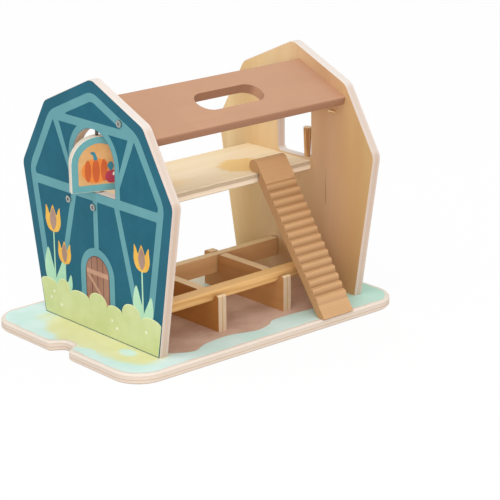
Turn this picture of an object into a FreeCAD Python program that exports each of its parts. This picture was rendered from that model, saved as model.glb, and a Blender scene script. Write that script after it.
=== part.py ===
import FreeCAD, Part
import math
import os

# Toy barn of plywood boards: two gable walls on a shaped base plate, one roof board
# with a carrying slot, a loft floor, a hooked ramp and a row of three stalls below.
# Millimetres. X runs from wall to wall, front is -Y, +Z is up. The origin lies on the
# underside of the base plate, midway between the walls.

V = FreeCAD.Vector
os.makedirs("parts", exist_ok=True)

# Fits that several pieces share
fit_gap = 0.06
loose_gap = 0.2
overrun = 6.0
same_point = 0.001
edge_r = 2.0
edge_share = 0.4
corner_share = 0.48

# Base plate: rounded, a little deeper in front on the right, with a hollow in the left side
base_thick = 9.5
base_left = 175.3
base_right = 153.8
base_back = 111.0
base_front_left = 112.0
base_front_right = 118.0
base_corner_r = 30.0
hollow_y = -0.5
hollow_half = 15.5
hollow_floor_half = 7.0
hollow_depth = 12.5
hollow_r = 6.5
base_bevel = 1.5

# Gable walls
barn_length = 254.5
wall_thick = 9.5
wall_height = 240.4
knee_half = 72.6
knee_height = 208.8
eave_half = 111.6
eave_height = 144.0
foot_front = 88.0
foot_back = 85.0
wall_corner_r = 13.0
wall_bevel = 0.6

# Loft floor, measured from the top of the base plate
loft_thick = 10.0
loft_top = 125.0
loft_front = 25.0
loft_depth = 93.0
loft_screw_y = 20.5
loft_screw_half = 18.6
loft_screw_rise = 1.4

# Roof board under the front slope, with its carrying slot
roof_thick = 9.5
roof_width = 71.7
roof_start = 13.8
roof_drop = 11.4
roof_edge_r = 2.8
roof_screw_slide = 1.0
roof_screw_rise = 1.4
roof_dowel_shift = 25.0
slot_length = 78.0
slot_width = 27.0

# Arched window in the left wall, with the turning shutter
window_half = 30.5
window_side = 28.5
window_sill_step = 10.5
shutter_thick = 9.0
shutter_side_gap = 4.5
shutter_top_gap = 6.5
shutter_lift = 1.5
shutter_bevel = 0.4
shutter_angle = 68.0
pin_r = 1.5
pin_seat = 9.0
pin_reach = 12.0
bearing_gap = 0.1
spacer_r = 4.0

# Window in the right wall, with a short post on its sill
far_window_y = 2.2
far_window_half = 24.0
far_window_side = 44.0
far_window_sill_step = 1.3
far_window_corner_r = 6.0
post_y = 16.0
post_height = 30.0
post_top_r = 4.3
post_foot_r = 3.2
post_round = 0.9
post_tenon_r = 2.0
post_tenon = 8.0
post_sides = 8
post_turn_share = 0.5

# Hook of bent wire on the inner face of the right wall
hook_y = 57.0
hook_height = 181.0
hook_r = 1.1
hook_seat = 6.0
hook_reach = 5.5
hook_arm = 9.0
hook_mitred = 1

# Stalls: two dividers, the back plank in their slots, the loose rail in their notches
divider_thick = 9.5
divider_height = 35.0
divider_front = 74.0
divider_back = 41.5
divider_round = 2.2
divider_seat = 2.5
plank_front = 23.0
plank_thick = 9.0
plank_height = 18.0
plank_lift = 16.0
plank_seat = 4.0
plank_slack = 2.6
plank_seat_gap = 1.0
rail_front = 65.0
rail_width = 16.0
rail_thick = 8.6
rail_lift = 28.4
rail_end_gap = 1.0
rail_far_gap = 13.0
rail_round = 1.2
rail_bevel_r = 5.0
notch_back_gap = 4.0
notch_front_gap = 0.6
notch_slant = 4.2

# Ramp hooked on the loft floor, with rounded treads
ramp_side_gap = 31.75
ramp_width = 38.5
ramp_thick = 9.0
ramp_gap = 2.6
ramp_bearing = 7.0
ramp_nose_r = 5.9
ramp_tip_r = 0.8
tread_count = 15
tread_pitch = 8.4
tread_rise = 2.5
tread_step = 2.6
tread_lip = 3.6
tread_lip_dip = 1.5
tread_heel = 7.1
tread_crest_r = 1.9
tread_foot_land = 16.0
tread_foot_drop = 1.6

# Fasteners
panel_screw_r = 1.75
panel_screw_length = 30.0
panel_head_r = 3.3
panel_head = 1.8
panel_socket_r = 1.6
panel_socket_depth = 1.1
base_screw_r = 1.75
base_screw_length = 29.0
base_head_r = 3.6
base_head = 2.4
base_head_recess = 0.4
wall_screw_half = 62.0
dowel_r = 3.0
dowel_seat = 5.5
dowel_relief = 0.3

# Places worked out from the sizes
floor_z = base_thick
outer_x = barn_length / 2
inner_x = outer_x - wall_thick
mid_x = outer_x - wall_thick / 2
loft_z = floor_z + loft_top
loft_under = loft_z - loft_thick
loft_mid_z = loft_z - loft_thick / 2
wall_rim = min(wall_bevel, edge_share * wall_thick)
base_rim = min(base_bevel, edge_share * base_thick)


def at_x(x, y=0):
    return lambda u, v: V(x, y + u, v)


def at_z(z):
    return lambda u, v: V(u, v, z)


def rounded_edges(corners, place, closed=True):
    # run of lines and arcs through corners (u, v, radius)
    count = len(corners)
    stops = []
    for i in range(count):
        u, v, r = corners[i]
        here = V(u, v, 0)
        if not closed and i in (0, count - 1):
            stops.append((here, None, here))
            continue
        before = V(corners[i - 1][0], corners[i - 1][1], 0) - here
        after = V(corners[(i + 1) % count][0], corners[(i + 1) % count][1], 0) - here
        room = corner_share * min(before.Length, after.Length)
        before.normalize()
        after.normalize()
        half = before.getAngle(after) / 2
        reach = min(r / math.tan(half), room)
        if reach < same_point:
            stops.append((here, None, here))
            continue
        radius = reach * math.tan(half)
        inward = before + after
        inward.normalize()
        middle = here + inward * (radius / math.sin(half) - radius)
        stops.append((here + before * reach, middle, here + after * reach))
    edges = []
    for i in range(count if closed else count - 1):
        start, middle, end = stops[i]
        following = stops[(i + 1) % count][0]
        if middle is not None:
            arc = Part.Arc(place(start.x, start.y), place(middle.x, middle.y), place(end.x, end.y))
            edges.append(arc.toShape())
        if (following - end).Length > same_point:
            edges.append(Part.makeLine(place(end.x, end.y), place(following.x, following.y)))
    return edges


def board(corners, place, push):
    return Part.Face(Part.Wire(rounded_edges(corners, place))).extrude(push)


def box(x0, x1, y0, y1, z0, z1):
    return Part.makeBox(x1 - x0, y1 - y0, z1 - z0, V(x0, y0, z0))


def rod(r, length, start, way):
    return Part.makeCylinder(r, length, start, way)


def rim_of(shape, axis, foot=None):
    # edges of a flat board that lie in its two faces, leaving out those at its foot
    found = []
    for edge in shape.Edges:
        b = edge.BoundBox
        span = (b.XLength, b.YLength, b.ZLength)[axis]
        on_foot = foot is not None and b.ZMax < foot + same_point
        if span < same_point and not on_foot:
            found.append(edge)
    return found


def arch(half, sill, side, corner_r, place):
    # window outline: level sill, upright sides and a half-round head
    spring = sill + side
    flat = min(corner_r, corner_share * half)
    bend = flat - flat * math.sqrt(0.5)
    edges = [
        Part.makeLine(place(half - flat, sill), place(flat - half, sill)),
        Part.makeLine(place(-half, sill + flat), place(-half, spring)),
        Part.Arc(place(-half, spring), place(0, spring + half), place(half, spring)).toShape(),
        Part.makeLine(place(half, spring), place(half, sill + flat)),
    ]
    if flat > same_point:
        left = Part.Arc(place(flat - half, sill), place(bend - half, sill + bend), place(-half, sill + flat))
        right = Part.Arc(place(half, sill + flat), place(half - bend, sill + bend), place(half - flat, sill))
        edges.insert(1, left.toShape())
        edges.append(right.toShape())
    return Part.Face(Part.Wire(edges))


# Base plate
base = board([
    (-base_left, -base_front_left, base_corner_r),
    (base_right, -base_front_right, base_corner_r),
    (base_right, base_back, base_corner_r),
    (-base_left, base_back, base_corner_r),
    (-base_left, hollow_y + hollow_half, hollow_r),
    (hollow_depth - base_left, hollow_y + hollow_floor_half, hollow_r),
    (hollow_depth - base_left, hollow_y - hollow_floor_half, hollow_r),
    (-base_left, hollow_y - hollow_half, hollow_r),
], at_z(0), V(0, 0, base_thick))
base = base.makeChamfer(base_rim, rim_of(base, 2))

# Gable walls, alike but for their windows and seats
gable = [
    (-foot_front, floor_z, 0),
    (foot_back, floor_z, 0),
    (eave_half, floor_z + eave_height, wall_corner_r),
    (knee_half, floor_z + knee_height, wall_corner_r),
    (0, floor_z + wall_height, wall_corner_r),
    (-knee_half, floor_z + knee_height, wall_corner_r),
    (-eave_half, floor_z + eave_height, wall_corner_r),
]
left_wall = board(gable, at_x(-outer_x), V(wall_thick, 0, 0))
left_wall = left_wall.makeChamfer(wall_rim, rim_of(left_wall, 0, floor_z))
right_wall = board(gable, at_x(inner_x), V(wall_thick, 0, 0))
right_wall = right_wall.makeChamfer(wall_rim, rim_of(right_wall, 0, floor_z))

# Window openings
window_sill = loft_z + window_sill_step
window_spring = window_sill + window_side
window_top = window_spring + window_half
cut_start = -outer_x - overrun
cut_push = V(wall_thick + overrun + overrun, 0, 0)
left_wall = left_wall.cut(arch(window_half, window_sill, window_side, 0, at_x(cut_start)).extrude(cut_push))
far_sill = loft_z + far_window_sill_step
far_place = at_x(inner_x - overrun, -far_window_y)
far_opening = arch(far_window_half, far_sill, far_window_side, far_window_corner_r, far_place)
right_wall = right_wall.cut(far_opening.extrude(cut_push))

# Loft floor between the walls
loft = board([
    (-loft_front, loft_under, edge_r),
    (loft_depth - loft_front, loft_under, edge_r),
    (loft_depth - loft_front, loft_z, edge_r),
    (-loft_front, loft_z, edge_r),
], at_x(-inner_x), V(inner_x + inner_x, 0, 0))

# Roof board: lies along the front slope of the gable, a little below its edge
slope = math.atan2(wall_height - knee_height, knee_half)
down = V(0, -math.cos(slope), -math.sin(slope))
rise = V(0, -math.sin(slope), math.cos(slope))
ridge = V(0, 0, floor_z + wall_height)


def on_roof(s, t):
    # s along the slope from the ridge, t above the gable's edge line
    return ridge + down * s + rise * t


def roof_place(s, t):
    p = on_roof(s, t)
    return V(-inner_x, p.y, p.z)


roof_mid_s = roof_start + roof_width / 2
roof_mid_t = -roof_drop - roof_thick / 2
roof = board([
    (roof_start, -roof_drop, roof_edge_r),
    (roof_start + roof_width, -roof_drop, roof_edge_r),
    (roof_start + roof_width, -roof_drop - roof_thick, roof_edge_r),
    (roof_start, -roof_drop - roof_thick, roof_edge_r),
], roof_place, V(inner_x + inner_x, 0, 0))
slot_r = slot_width / 2
slot_run = slot_length / 2 - slot_r


def slot_place(u, v):
    p = on_roof(roof_mid_s + v, overrun)
    return V(u, p.y, p.z)


slot = Part.Face(Part.Wire([
    Part.makeLine(slot_place(-slot_run, -slot_r), slot_place(slot_run, -slot_r)),
    Part.Arc(slot_place(slot_run, -slot_r), slot_place(slot_run + slot_r, 0),
             slot_place(slot_run, slot_r)).toShape(),
    Part.makeLine(slot_place(slot_run, slot_r), slot_place(-slot_run, slot_r)),
    Part.Arc(slot_place(-slot_run, slot_r), slot_place(-slot_run - slot_r, 0),
             slot_place(-slot_run, -slot_r)).toShape(),
]))
roof = roof.cut(slot.extrude(rise * -(roof_drop + roof_thick + overrun + overrun)))

# Turning shutter: the window's outline less its gaps, on two upright pins
shutter_half = window_half - shutter_side_gap
shutter_sill = window_sill + shutter_lift
shutter_side = window_top - shutter_top_gap - shutter_half - shutter_sill
shutter = arch(shutter_half, shutter_sill, shutter_side, 0, at_x(-mid_x - shutter_thick / 2))
shutter = shutter.extrude(V(shutter_thick, 0, 0))
shutter = shutter.makeChamfer(min(shutter_bevel, edge_share * shutter_thick), rim_of(shutter, 0))
shutter_top = window_top - shutter_top_gap
up = V(0, 0, 1)
pin_foot = V(-mid_x, 0, window_sill - pin_seat)
pin_head = V(-mid_x, 0, shutter_top - pin_reach)
lower_pin = rod(pin_r, pin_seat + shutter_lift + pin_reach, pin_foot, up)
upper_pin = rod(pin_r, pin_reach + shutter_top_gap + pin_seat, pin_head, up)
bore = pin_reach + fit_gap + overrun
shutter = shutter.cut(rod(pin_r + fit_gap, bore, V(-mid_x, 0, shutter_sill - overrun), up))
shutter = shutter.cut(rod(pin_r + fit_gap, bore, pin_head - up * fit_gap, up))
left_wall = left_wall.cut(rod(pin_r + fit_gap, pin_seat + overrun, pin_foot, up))
left_wall = left_wall.cut(rod(pin_r + fit_gap, pin_seat + overrun, V(-mid_x, 0, window_top - overrun), up))
spacer = rod(spacer_r, shutter_lift - bearing_gap, V(-mid_x, 0, window_sill), up)
spacer = spacer.cut(rod(pin_r + fit_gap, shutter_lift + overrun, V(-mid_x, 0, window_sill - overrun), up))
shutter.rotate(V(-mid_x, 0, 0), up, shutter_angle)

# Eight-sided post on the sill of the right window, tapered, with a round tenon
post_foot = V(mid_x, -post_y, far_sill)


def post_section(r, z):
    # eight flats, one of them square to the wall
    points = []
    for k in range(post_sides + 1):
        turn = 2 * math.pi * (k + post_turn_share) / post_sides
        points.append(post_foot + V(r * math.cos(turn), r * math.sin(turn), z))
    return Part.makePolygon(points)


post = Part.makeLoft([
    post_section(post_foot_r, 0), post_section(post_top_r, post_height - post_round),
    post_section(post_top_r - post_round, post_height),
], True, True)
post = post.fuse(rod(post_tenon_r, post_tenon, post_foot - up * post_tenon, up)).removeSplitter()
right_wall = right_wall.cut(rod(post_tenon_r + fit_gap, post_tenon + fit_gap + overrun,
                                post_foot - up * (post_tenon + fit_gap), up))

# Wire hook in the right wall, bent towards the front
hook_z = floor_z + hook_height
hook_line = inner_x - hook_reach
hook_start = V(inner_x + hook_seat, -hook_y, hook_z)
hook_bend = V(hook_line, -hook_y, hook_z)
hook_path = Part.makePolygon([hook_start, hook_bend, hook_bend - V(0, hook_arm, 0)])
hook_section = Part.Wire(Part.makeCircle(hook_r, hook_start, V(1, 0, 0)))
hook = hook_path.makePipeShell([hook_section], True, False, hook_mitred)
right_wall = right_wall.cut(rod(hook_r + fit_gap, hook_seat + overrun, V(inner_x - overrun, -hook_y, hook_z),
                                V(1, 0, 0)))

# Stall dividers: equal bays, housed in the base, a slot for the plank and an open notch for the rail
bay = (inner_x + inner_x - divider_thick - divider_thick) / 3
divider_left_x = bay - inner_x
divider_right_x = divider_left_x + divider_thick + bay
divider_top = floor_z + divider_height
plank_z = floor_z + plank_lift
rail_z = floor_z + rail_lift
notch_z = rail_z - loose_gap
notch_front = -rail_front - notch_front_gap
notch_back = rail_width - rail_front + notch_back_gap
plank_slot = plank_front - plank_slack
plank_rear = plank_front + plank_thick
housing_z = floor_z - divider_seat
divider_line = [
    (-divider_front, housing_z, 0),
    (divider_back, housing_z, 0),
    (divider_back, divider_top, divider_round),
    (plank_rear + fit_gap, divider_top, 0),
    (plank_rear + fit_gap, plank_z, 0),
    (plank_slot, plank_z, 0),
    (plank_slot, divider_top, divider_round),
    (notch_back, divider_top, divider_round),
    (notch_back, notch_z, 0),
    (notch_front, notch_z, 0),
    (notch_front - notch_slant, divider_top, divider_round),
    (-divider_front, divider_top, divider_round),
]
divider_left = board(divider_line, at_x(divider_left_x), V(divider_thick, 0, 0))
divider_right = board(divider_line, at_x(divider_right_x), V(divider_thick, 0, 0))
for x in (divider_left_x, divider_right_x):
    base = base.cut(box(x - fit_gap, x + divider_thick + fit_gap, -divider_front - fit_gap,
                        divider_back + fit_gap, housing_z, floor_z + overrun))

# Back plank: drops into the divider slots, its ends in blind seats in the walls
plank = box(-inner_x - plank_seat, inner_x + plank_seat, plank_front, plank_rear, plank_z,
            plank_z + plank_height)
seat = box(-inner_x - plank_seat, inner_x + plank_seat, plank_front - plank_seat_gap, plank_rear + fit_gap,
           plank_z, plank_z + plank_height + plank_seat_gap)
left_wall = left_wall.cut(seat)
right_wall = right_wall.cut(seat)

# Front rail: lies loose in the notches, its front top edge well rounded
rail = board([
    (-rail_front, rail_z, rail_round),
    (rail_width - rail_front, rail_z, rail_round),
    (rail_width - rail_front, rail_z + rail_thick, rail_round),
    (-rail_front, rail_z + rail_thick, rail_bevel_r),
], at_x(rail_end_gap - inner_x), V(inner_x + inner_x - rail_end_gap - rail_far_gap, 0, 0))

# Ramp: its underside runs from the loft's lower edge to the base, its nose hooks over the loft
ramp_x = inner_x - ramp_side_gap - ramp_width / 2
ramp_front_share = (ramp_x + base_left) / (base_left + base_right)
base_front = base_front_left + (base_front_right - base_front_left) * ramp_front_share
ramp_foot_z = floor_z + loose_gap
heel = V(0, ramp_bearing - base_front, ramp_foot_z)
neck = V(0, -loft_front - ramp_gap, loft_under)
run = neck - heel
run.normalize()
out = V(0, -run.z, run.y)
hook_under = loft_z + loose_gap
tip = heel - V(0, ramp_thick / run.z, 0)
nose_z = hook_under + ramp_nose_r
nose_y = tip.y + ((nose_z - tip.z) * run.y + ramp_nose_r) / run.z
nose = V(0, nose_y, nose_z)
land_start = nose + out * ramp_nose_r
foot_tip = tip + V(0, tread_foot_drop / run.z, 0)


def on_ramp(up_slope, sunk):
    # up_slope from the tip along the line of the crests, sunk below that line
    return tip + run * up_slope - out * sunk


def bend(point, r=0):
    return (point.y, point.z, r)


# Treads: a nearly level top, a round crest and a long face down to the next top
land_end = tread_foot_land + tread_heel + tread_pitch * (tread_count - 1) + tread_lip
ramp_bends = [
    bend(land_start),
    bend(on_ramp(land_end, 0), tread_crest_r),
    bend(on_ramp(land_end - tread_lip / 2, tread_lip_dip)),
]
for i in range(tread_count):
    crest = land_end - tread_lip - tread_pitch * i
    if i > 0:
        ramp_bends.append(bend(on_ramp(crest + tread_step, tread_rise)))
    ramp_bends.append(bend(on_ramp(crest, 0), tread_crest_r))
ramp_bends += [
    bend(on_ramp(tread_foot_land, tread_foot_drop)),
    bend(foot_tip + run * ramp_tip_r),
    bend(foot_tip + V(0, ramp_tip_r, 0)),
    bend(heel),
    bend(neck),
    bend(V(0, neck.y, hook_under)),
    bend(V(0, nose_y, hook_under)),
]
ramp_edges = rounded_edges(ramp_bends, at_x(0), False)
nose_back = nose + (V(0, 0, -1) + out) * (-ramp_nose_r / (V(0, 0, -1) + out).Length)
ramp_edges.append(Part.Arc(V(0, nose_y, hook_under), nose_back, land_start).toShape())
ramp = Part.Face(Part.Wire(ramp_edges)).extrude(V(ramp_width, 0, 0))
ramp.translate(V(ramp_x - ramp_width / 2, 0, 0))


# Screws through the walls, with a low round head and a hexagon socket
def panel_screw(face, way):
    line = [
        V(0, 0, -panel_screw_length), V(panel_screw_r, 0, -panel_screw_length), V(panel_screw_r, 0, 0),
        V(panel_head_r, 0, 0), V(panel_head_r, 0, panel_head), V(0, 0, panel_head),
    ]
    turned = Part.Face(Part.makePolygon(line + line[:1])).revolve(V(0, 0, 0), up, 360)
    corners = []
    for k in range(7):
        turn = math.radians(60 * k)
        corners.append(V(math.cos(turn), math.sin(turn), 0) * panel_socket_r
                       + up * (panel_head - panel_socket_depth))
    key = Part.Face(Part.makePolygon(corners)).extrude(up * (panel_socket_depth + overrun))
    turned = turned.cut(key)
    turned.Placement = FreeCAD.Placement(face, FreeCAD.Rotation(up, way))
    return turned


def panel_hole(face, way):
    depth = panel_screw_length + fit_gap
    return rod(panel_screw_r + fit_gap, depth + overrun, face + way * overrun, way * -1)


roof_screws = []
roof_screw_at = on_roof(roof_mid_s + roof_screw_slide, roof_mid_t + roof_screw_rise)
loft_screws = []
for side in (-1, 1):
    way = V(side, 0, 0)
    face = roof_screw_at + way * outer_x
    roof_screws.append(panel_screw(face, way))
    hole = panel_hole(face, way)
    roof = roof.cut(hole)
    left_wall = left_wall.cut(hole)
    right_wall = right_wall.cut(hole)
    for shift in (-loft_screw_half, loft_screw_half):
        face = V(side * outer_x, loft_screw_y + shift, loft_mid_z + loft_screw_rise)
        loft_screws.append(panel_screw(face, way))
        hole = panel_hole(face, way)
        loft = loft.cut(hole)
        left_wall = left_wall.cut(hole)
        right_wall = right_wall.cut(hole)

# Dowels that keep the roof board from turning about its screws
roof_dowels = []
dowel_at = on_roof(roof_mid_s + roof_dowel_shift, roof_mid_t)
for side in (-1, 1):
    way = V(side, 0, 0)
    start = V(side * (inner_x - dowel_seat), dowel_at.y, dowel_at.z)
    roof_dowels.append(rod(dowel_r, dowel_seat + dowel_seat, start, way))
    hole = rod(dowel_r + fit_gap, dowel_seat + dowel_seat + dowel_relief + dowel_relief,
               start - way * dowel_relief, way)
    roof = roof.cut(hole)
    left_wall = left_wall.cut(hole)
    right_wall = right_wall.cut(hole)


# Countersunk screws up through the base plate
def base_screw(x, y):
    line = [
        V(0, 0, 0), V(base_head_r, 0, 0), V(base_screw_r, 0, base_head),
        V(base_screw_r, 0, base_screw_length), V(0, 0, base_screw_length),
    ]
    turned = Part.Face(Part.makePolygon(line + line[:1])).revolve(V(0, 0, 0), up, 360)
    turned.translate(V(x, y, base_head_recess))
    return turned


def base_hole(x, y):
    shank = rod(base_screw_r + fit_gap, base_head_recess + base_screw_length + fit_gap, V(x, y, 0), up)
    taper = (base_head_r - base_screw_r) / base_head
    depth = base_head_recess + base_head
    mouth_r = base_screw_r + fit_gap + taper * depth
    return shank.fuse(Part.makeCone(mouth_r, base_screw_r + fit_gap, depth, V(x, y, 0), up))


wall_screws = []
for side in (-1, 1):
    for y in (-wall_screw_half, wall_screw_half):
        wall_screws.append(base_screw(side * mid_x, y))
        hole = base_hole(side * mid_x, y)
        base = base.cut(hole)
        left_wall = left_wall.cut(hole)
        right_wall = right_wall.cut(hole)

nodes = {
    "base_plate": base,
    "left_gable_wall": left_wall,
    "right_gable_wall": right_wall,
    "roof_board": roof,
    "loft_floor": loft,
    "stall_divider_left": divider_left,
    "stall_divider_right": divider_right,
    "stall_back_plank": plank,
    "stall_front_rail": rail,
    "ramp": ramp,
    "arched_shutter": shutter,
    "shutter_upper_pin": upper_pin,
    "shutter_lower_pin": lower_pin,
    "shutter_spacer": spacer,
    "window_post": post,
    "wall_hook": hook,
    "roof_screws": Part.makeCompound(roof_screws),
    "roof_dowels": Part.makeCompound(roof_dowels),
    "loft_screws": Part.makeCompound(loft_screws),
    "wall_screws": Part.makeCompound(wall_screws),
}
for name, shape in nodes.items():
    if not shape.isValid():
        raise ValueError(name + " is not a valid solid")
    shape.exportStep("parts/" + name + ".step")
    print(name, len(shape.Solids), round(shape.Volume))
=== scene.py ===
import math

import bmesh
import bpy
from mathutils import Matrix, Vector
from mathutils.geometry import tessellate_polygon


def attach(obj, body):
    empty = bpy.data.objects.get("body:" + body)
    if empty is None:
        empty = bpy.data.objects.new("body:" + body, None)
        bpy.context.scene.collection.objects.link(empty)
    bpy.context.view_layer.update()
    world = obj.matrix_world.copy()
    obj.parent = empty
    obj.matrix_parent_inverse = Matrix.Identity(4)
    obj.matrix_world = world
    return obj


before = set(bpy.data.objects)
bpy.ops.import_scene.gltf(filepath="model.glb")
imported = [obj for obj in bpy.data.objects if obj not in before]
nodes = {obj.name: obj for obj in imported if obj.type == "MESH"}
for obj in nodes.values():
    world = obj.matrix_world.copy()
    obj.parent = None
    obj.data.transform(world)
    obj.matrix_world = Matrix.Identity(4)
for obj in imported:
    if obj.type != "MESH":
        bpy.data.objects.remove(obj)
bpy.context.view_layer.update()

scene = bpy.context.scene
MM = 0.001


def limits(node):
    """Lowest and highest corner of a node, in millimetres."""
    spots = [v.co / MM for v in nodes[node].data.vertices]
    return [Vector([pick(s[i] for s in spots) for i in range(3)]) for pick in (min, max)]


# Places read from the solids
wall_low, wall_high = limits("left_gable_wall")
loft_low, loft_high = limits("loft_floor")
OUTER_X, INNER_X = -wall_low.x, -wall_high.x
MID_X = (OUTER_X + INNER_X) / 2
FLOOR_Z = limits("base_plate")[1].z
LOFT_Z = loft_high.z

# Outline of the walls, the openings in them and the shutter, heights above the base plate
FOOT_FRONT, FOOT_BACK = 88.0, 85.0
EAVE_HALF, EAVE_HEIGHT = 111.6, 144.0
KNEE_HALF, KNEE_HEIGHT, RIDGE_HEIGHT = 72.6, 208.8, 240.4
NEAR_WINDOW = dict(half=30.5, sill=135.5, spring=164.0, centre=0.0)
FAR_WINDOW = dict(half=24.0, sill=126.3, spring=170.3, centre=-2.2)
SHUTTER_TURN = math.radians(68)
SHUTTER_HALF, SHUTTER_SILL, SHUTTER_SPRING, SHUTTER_FACE = 26.0, 137.0, 162.0, 4.5

# Outline that the printed lines of the walls run parallel to
PRINT_EDGE = [(-84.5, 0), (84.5, 0), (110, 144), (72, 208.5), (0, 240), (-72, 208.5), (-110, 144)]


# Materials

# Depth of the relief in every surface
BUMP_DEPTH = 0.15
# Sockets of the colour mix: first colour, second colour, result
MIX_FIRST, MIX_SECOND, MIX_RESULT = 6, 7, 2
# Noise levels where an even mix, the darker figure of wood and a change of sheen start and are full
EVEN_LEVELS, FIGURE_LEVELS, SHEEN_LEVELS = (0.3, 0.7), (0.75, 0.25), (0.2, 0.8)
# The same for pores in veneer, in stained wood, in printed wood and in other wood
VENEER_PORES, STAIN_PORES, INK_PORES, PORES = (0.62, 0.3), (0.6, 0.28), (0.6, 0.32), (0.6, 0.3)
# How much smoother and how much rougher wood, ink and metal get than their set roughness
WOOD_SHEEN, INK_SHEEN, METAL_SHEEN = (0.05, 0.08), (0.04, 0.08), (0.08, 0.12)


def colour(code):
    """sRGB hex code to the linear colour that a shader socket takes."""
    parts = [int(code[i:i + 2], 16) / 255 for i in (0, 2, 4)]
    return [c / 12.92 if c <= 0.04045 else ((c + 0.055) / 1.055) ** 2.4 for c in parts] + [1.0]


class Finish:
    """One material under construction, with short names for the shader nodes it uses."""

    def __init__(self, name, rough=0.5, metal=0.0, specular=0.3):
        self.material = bpy.data.materials.new(name)
        self.material.use_nodes = True
        self.tree = self.material.node_tree
        self.shader = self.tree.nodes["Principled BSDF"]
        settings = {"Roughness": rough, "Metallic": metal, "Specular IOR Level": specular}
        for socket, value in settings.items():
            self.shader.inputs[socket].default_value = value
        where = self.node("ShaderNodeTexCoord")
        self.place = where.outputs["Object"]
        self.facing = where.outputs["Normal"]

    def node(self, kind, **settings):
        """New shader node with some of its settings."""
        made = self.tree.nodes.new(kind)
        for key, value in settings.items():
            setattr(made, key, value)
        return made

    def feed(self, socket, value):
        """Link a socket to what another node gives, or set it to a constant."""
        if isinstance(value, bpy.types.NodeSocket):
            self.tree.links.new(value, socket)
        else:
            socket.default_value = value

    def math(self, operation, *values):
        made = self.node("ShaderNodeMath", operation=operation)
        for socket, value in zip(made.inputs, values):
            self.feed(socket, value)
        return made.outputs[0]

    def axis(self, vector, index):
        """One coordinate of a vector."""
        made = self.node("ShaderNodeSeparateXYZ")
        self.feed(made.inputs[0], vector)
        return made.outputs[index]

    def dot(self, vector, direction):
        """How far a vector goes along a direction."""
        made = self.node("ShaderNodeVectorMath", operation="DOT_PRODUCT")
        self.feed(made.inputs[0], vector)
        made.inputs[1].default_value = direction
        return made.outputs["Value"]

    def turned(self, vector, angle, centre=(0, 0, 0)):
        """Vector turned about an upright axis."""
        made = self.node("ShaderNodeVectorRotate", rotation_type="Z_AXIS")
        self.feed(made.inputs["Vector"], vector)
        made.inputs["Center"].default_value = centre
        made.inputs["Angle"].default_value = angle
        return made.outputs[0]

    def noise(self, vector, scale, detail=2.0, rough=0.5, bend=0.0):
        """Noise of 0 to 1 whose scale, in waves per metre, differs by axis."""
        spread = self.node("ShaderNodeMapping")
        self.feed(spread.inputs["Vector"], vector)
        spread.inputs["Scale"].default_value = scale
        made = self.node("ShaderNodeTexNoise")
        self.feed(made.inputs["Vector"], spread.outputs[0])
        settings = {"Scale": 1.0, "Detail": detail, "Roughness": rough, "Distortion": bend}
        for socket, value in settings.items():
            made.inputs[socket].default_value = value
        return made.outputs[0]

    def clouds(self, vector, scale, detail=2.0, rough=0.5, bend=0.0):
        """Noise that is alike along all axes."""
        return self.noise(vector, (scale, scale, scale), detail, rough, bend)

    def span(self, value, start, full, least=0.0, most=1.0, smooth=True):
        """Share that goes from least, where the value is at start, to most, where it is at full."""
        made = self.node("ShaderNodeMapRange", interpolation_type="SMOOTHSTEP" if smooth else "LINEAR")
        self.feed(made.inputs[0], value)
        for socket, number in zip(made.inputs[1:5], (start, full, least, most)):
            socket.default_value = number
        return made.outputs[0]

    def sway(self, noise, reach):
        """Shift of up to reach either way."""
        return self.span(noise, *EVEN_LEVELS, -reach, reach, smooth=False)

    def sheen(self, noise, rough, change, levels=SHEEN_LEVELS):
        """Roughness that varies about its set value."""
        smoother, rougher = change
        return self.span(noise, *levels, rough - smoother, rough + rougher)

    def spot(self, centre, reach, drift, outer=1.6, inner=0.3):
        """Share of a round spot on the ground plan that fades from inner to outer, shifted by drift."""
        terms = []
        for index in (0, 1):
            offset = self.math("SUBTRACT", self.axis(self.place, index), centre[index] * MM)
            terms.append(self.math("POWER", self.math("DIVIDE", offset, reach[index] * MM), 2.0))
        return self.span(self.math("ADD", self.math("ADD", *terms), drift), outer, inner)

    def gradient(self, value, stops):
        """Colour at a value of 0 to 1, between stops that each have a place and a colour."""
        made = self.node("ShaderNodeValToRGB")
        self.feed(made.inputs[0], value)
        bar = made.color_ramp.elements
        while len(bar) < len(stops):
            bar.new(0.5)
        for stop, (at, code) in zip(bar, stops):
            stop.position = at
            stop.color = colour(code)
        return made.outputs[0]

    def mix(self, share, first, second):
        """Colour that goes from the first to the second as the share goes from 0 to 1."""
        made = self.node("ShaderNodeMix", data_type="RGBA")
        self.feed(made.inputs[0], share)
        self.feed(made.inputs[MIX_FIRST], first)
        self.feed(made.inputs[MIX_SECOND], second)
        return made.outputs[MIX_RESULT]

    def done(self, tint, height, strength=0.2, rough=None):
        """The finished material: its colour, the relief in its surface and a roughness that varies."""
        self.feed(self.shader.inputs["Base Color"], tint)
        if rough is not None:
            self.feed(self.shader.inputs["Roughness"], rough)
        bump = self.node("ShaderNodeBump")
        bump.inputs["Strength"].default_value = strength
        bump.inputs["Distance"].default_value = BUMP_DEPTH * MM
        self.feed(bump.inputs["Height"], height)
        self.feed(self.shader.inputs["Normal"], bump.outputs[0])
        return self.material


# How many times as long as wide the pores of wood are
PORE_STRETCH = 30


def grain(f, place, along, wide=70.0, slow=5.0, fine=900.0):
    """Broad figure and fine pores of wood whose grain runs along one axis, each 0 to 1."""
    broad_scale = [wide] * 3
    broad_scale[along] = slow
    fine_scale = [fine] * 3
    fine_scale[along] = fine / PORE_STRETCH
    broad = f.noise(place, broad_scale, detail=3.0, rough=0.55, bend=0.8)
    pores = f.noise(place, fine_scale, rough=0.6)
    return broad, pores


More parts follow.
